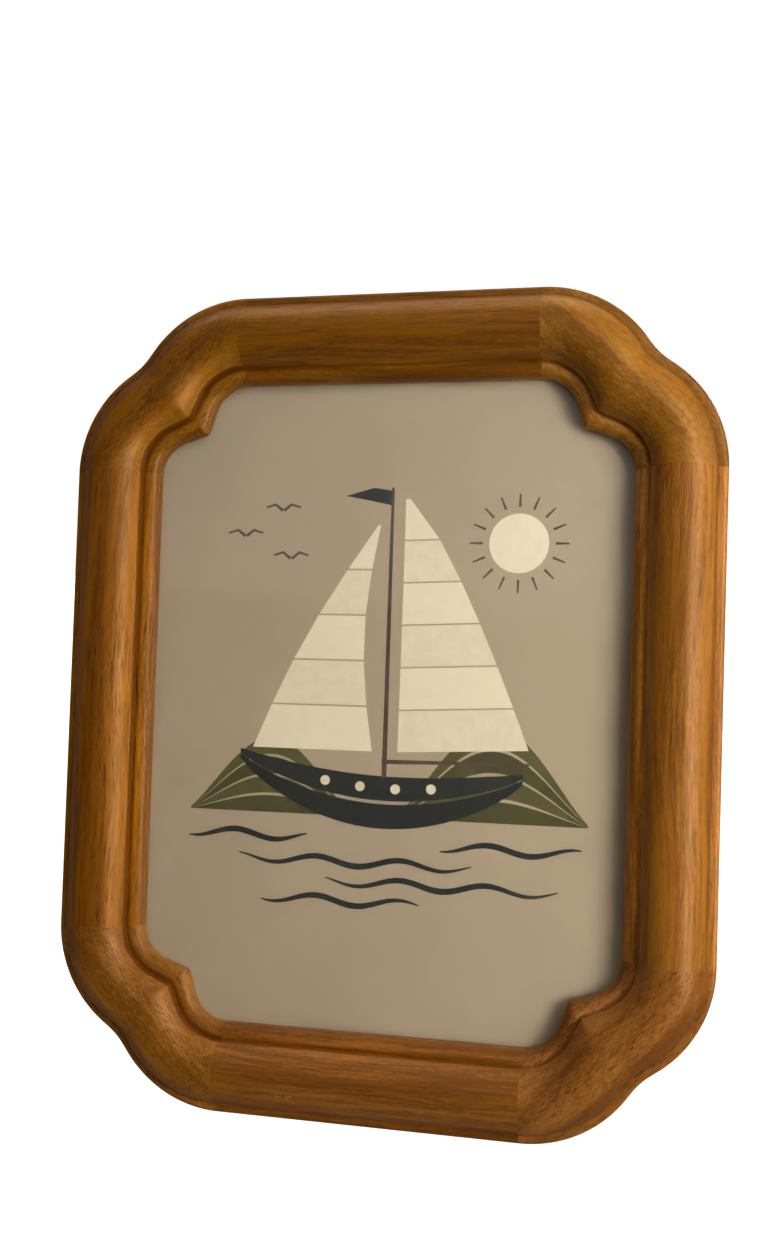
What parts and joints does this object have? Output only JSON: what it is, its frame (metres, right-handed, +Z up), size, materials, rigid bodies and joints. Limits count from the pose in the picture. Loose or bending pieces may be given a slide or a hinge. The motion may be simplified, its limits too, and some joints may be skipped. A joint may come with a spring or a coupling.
{
  "type": "picture frame",
  "caption": "Wooden picture frame with lobed corners and a rounded moulding, holding a glazed print behind turn buttons and standing on a fold-out easel leg.",
  "frame": {"origin": "on the table, under the middle of the part's box as it stands on its open leg", "axes": "+Z up; the picture faces -Y and leans back 14 degrees; +X to the right of someone facing the picture"},
  "size_m": [0.2, 0.098, 0.2454],
  "materials": {
    "stained_wood": "satin varnish over a honey-brown stain",
    "dowel_wood": "bare beech",
    "clear_glass": "clear float glass",
    "print_paper": "matt printed paper",
    "fibreboard": "bare fibreboard",
    "brassed_steel": "brass-plated",
    "plated_steel": "nickel-plated"
  },
  "bodies": {
    "frame": {"top_rail": "stained_wood", "bottom_rail": "stained_wood", "left_rail": "stained_wood", "right_rail": "stained_wood", "top_left_corner": "stained_wood", "top_right_corner": "stained_wood", "bottom_left_corner": "stained_wood", "bottom_right_corner": "stained_wood", "top_rail_dowel_left": "dowel_wood", "top_rail_dowel_right": "dowel_wood", "bottom_rail_dowel_left": "dowel_wood", "bottom_rail_dowel_right": "dowel_wood", "left_rail_dowel_lower": "dowel_wood", "left_rail_dowel_upper": "dowel_wood", "right_rail_dowel_lower": "dowel_wood", "right_rail_dowel_upper": "dowel_wood", "glass_pane": "clear_glass", "art_print": "print_paper", "back_board": "fibreboard", "turn_button_screw_left_upper": "brassed_steel", "turn_button_screw_left_lower": "brassed_steel", "turn_button_screw_right_upper": "brassed_steel", "turn_button_screw_right_lower": "brassed_steel", "hinge_board_leaf": "plated_steel", "hinge_board_rivet_left": "plated_steel", "hinge_board_rivet_right": "plated_steel", "hinge_pin": "plated_steel", "sawtooth_hanger": "plated_steel", "hanger_nail_left": "plated_steel", "hanger_nail_right": "plated_steel"},
    "leg": {"easel_leg": "fibreboard", "hinge_leg_leaf": "plated_steel", "hinge_leg_rivet_left": "plated_steel", "hinge_leg_rivet_right": "plated_steel"},
    "button_left_upper": {"turn_button_left_upper": "brassed_steel"},
    "button_left_lower": {"turn_button_left_lower": "brassed_steel"},
    "button_right_upper": {"turn_button_right_upper": "brassed_steel"},
    "button_right_lower": {"turn_button_right_lower": "brassed_steel"}
  },
  "joints": [
    {"name": "easel_fold", "type": "hinge", "parent": "frame", "child": "leg", "pos_m": [0, 0.00891, 0.15467], "axis": [-1, 0, 0], "range_deg": [0, 28]},
    {"name": "turn_left_upper", "type": "hinge", "parent": "frame", "child": "button_left_upper", "pos_m": [-0.0842, 0.00847, 0.16199], "axis": [0, -0.9703, 0.2419], "continuous": true},
    {"name": "turn_left_lower", "type": "hinge", "parent": "frame", "child": "button_left_lower", "pos_m": [-0.0842, -0.01186, 0.08049], "axis": [0, -0.9703, 0.2419], "continuous": true},
    {"name": "turn_right_upper", "type": "hinge", "parent": "frame", "child": "button_right_upper", "pos_m": [0.0842, 0.00847, 0.16199], "axis": [0, -0.9703, 0.2419], "continuous": true},
    {"name": "turn_right_lower", "type": "hinge", "parent": "frame", "child": "button_right_lower", "pos_m": [0.0842, -0.01186, 0.08049], "axis": [0, -0.9703, 0.2419], "continuous": true}
  ]
}
